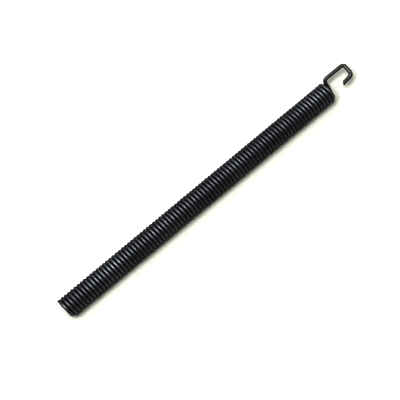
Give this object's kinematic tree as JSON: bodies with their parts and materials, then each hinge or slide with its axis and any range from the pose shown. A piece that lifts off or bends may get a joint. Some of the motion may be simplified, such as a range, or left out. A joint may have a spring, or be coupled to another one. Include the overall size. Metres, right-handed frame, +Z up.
{
  "type": "folding door spring",
  "caption": "Slim close-wound black steel extension spring with a plain cut end and an open square hook bent from its last turn, used to pull a folding door shut.",
  "frame": {"origin": "on the coil's axis, in the plane of its plain cut end", "axes": "+X along the coil's axis from the plain end to the hook, +Y towards the hook's shank with the hook lying level in the XY plane, +Z up from the surface the spring lies on"},
  "size_m": [0.1103, 0.007, 0.0064],
  "materials": {
    "black_spring_wire": "thin black oil-tempered and lacquered skin on round spring wire, satin, a little rubbed on the crowns of the turns"
  },
  "bodies": {
    "root": {"coil": "black_spring_wire", "hook": "black_spring_wire"}
  },
  "joints": []
}
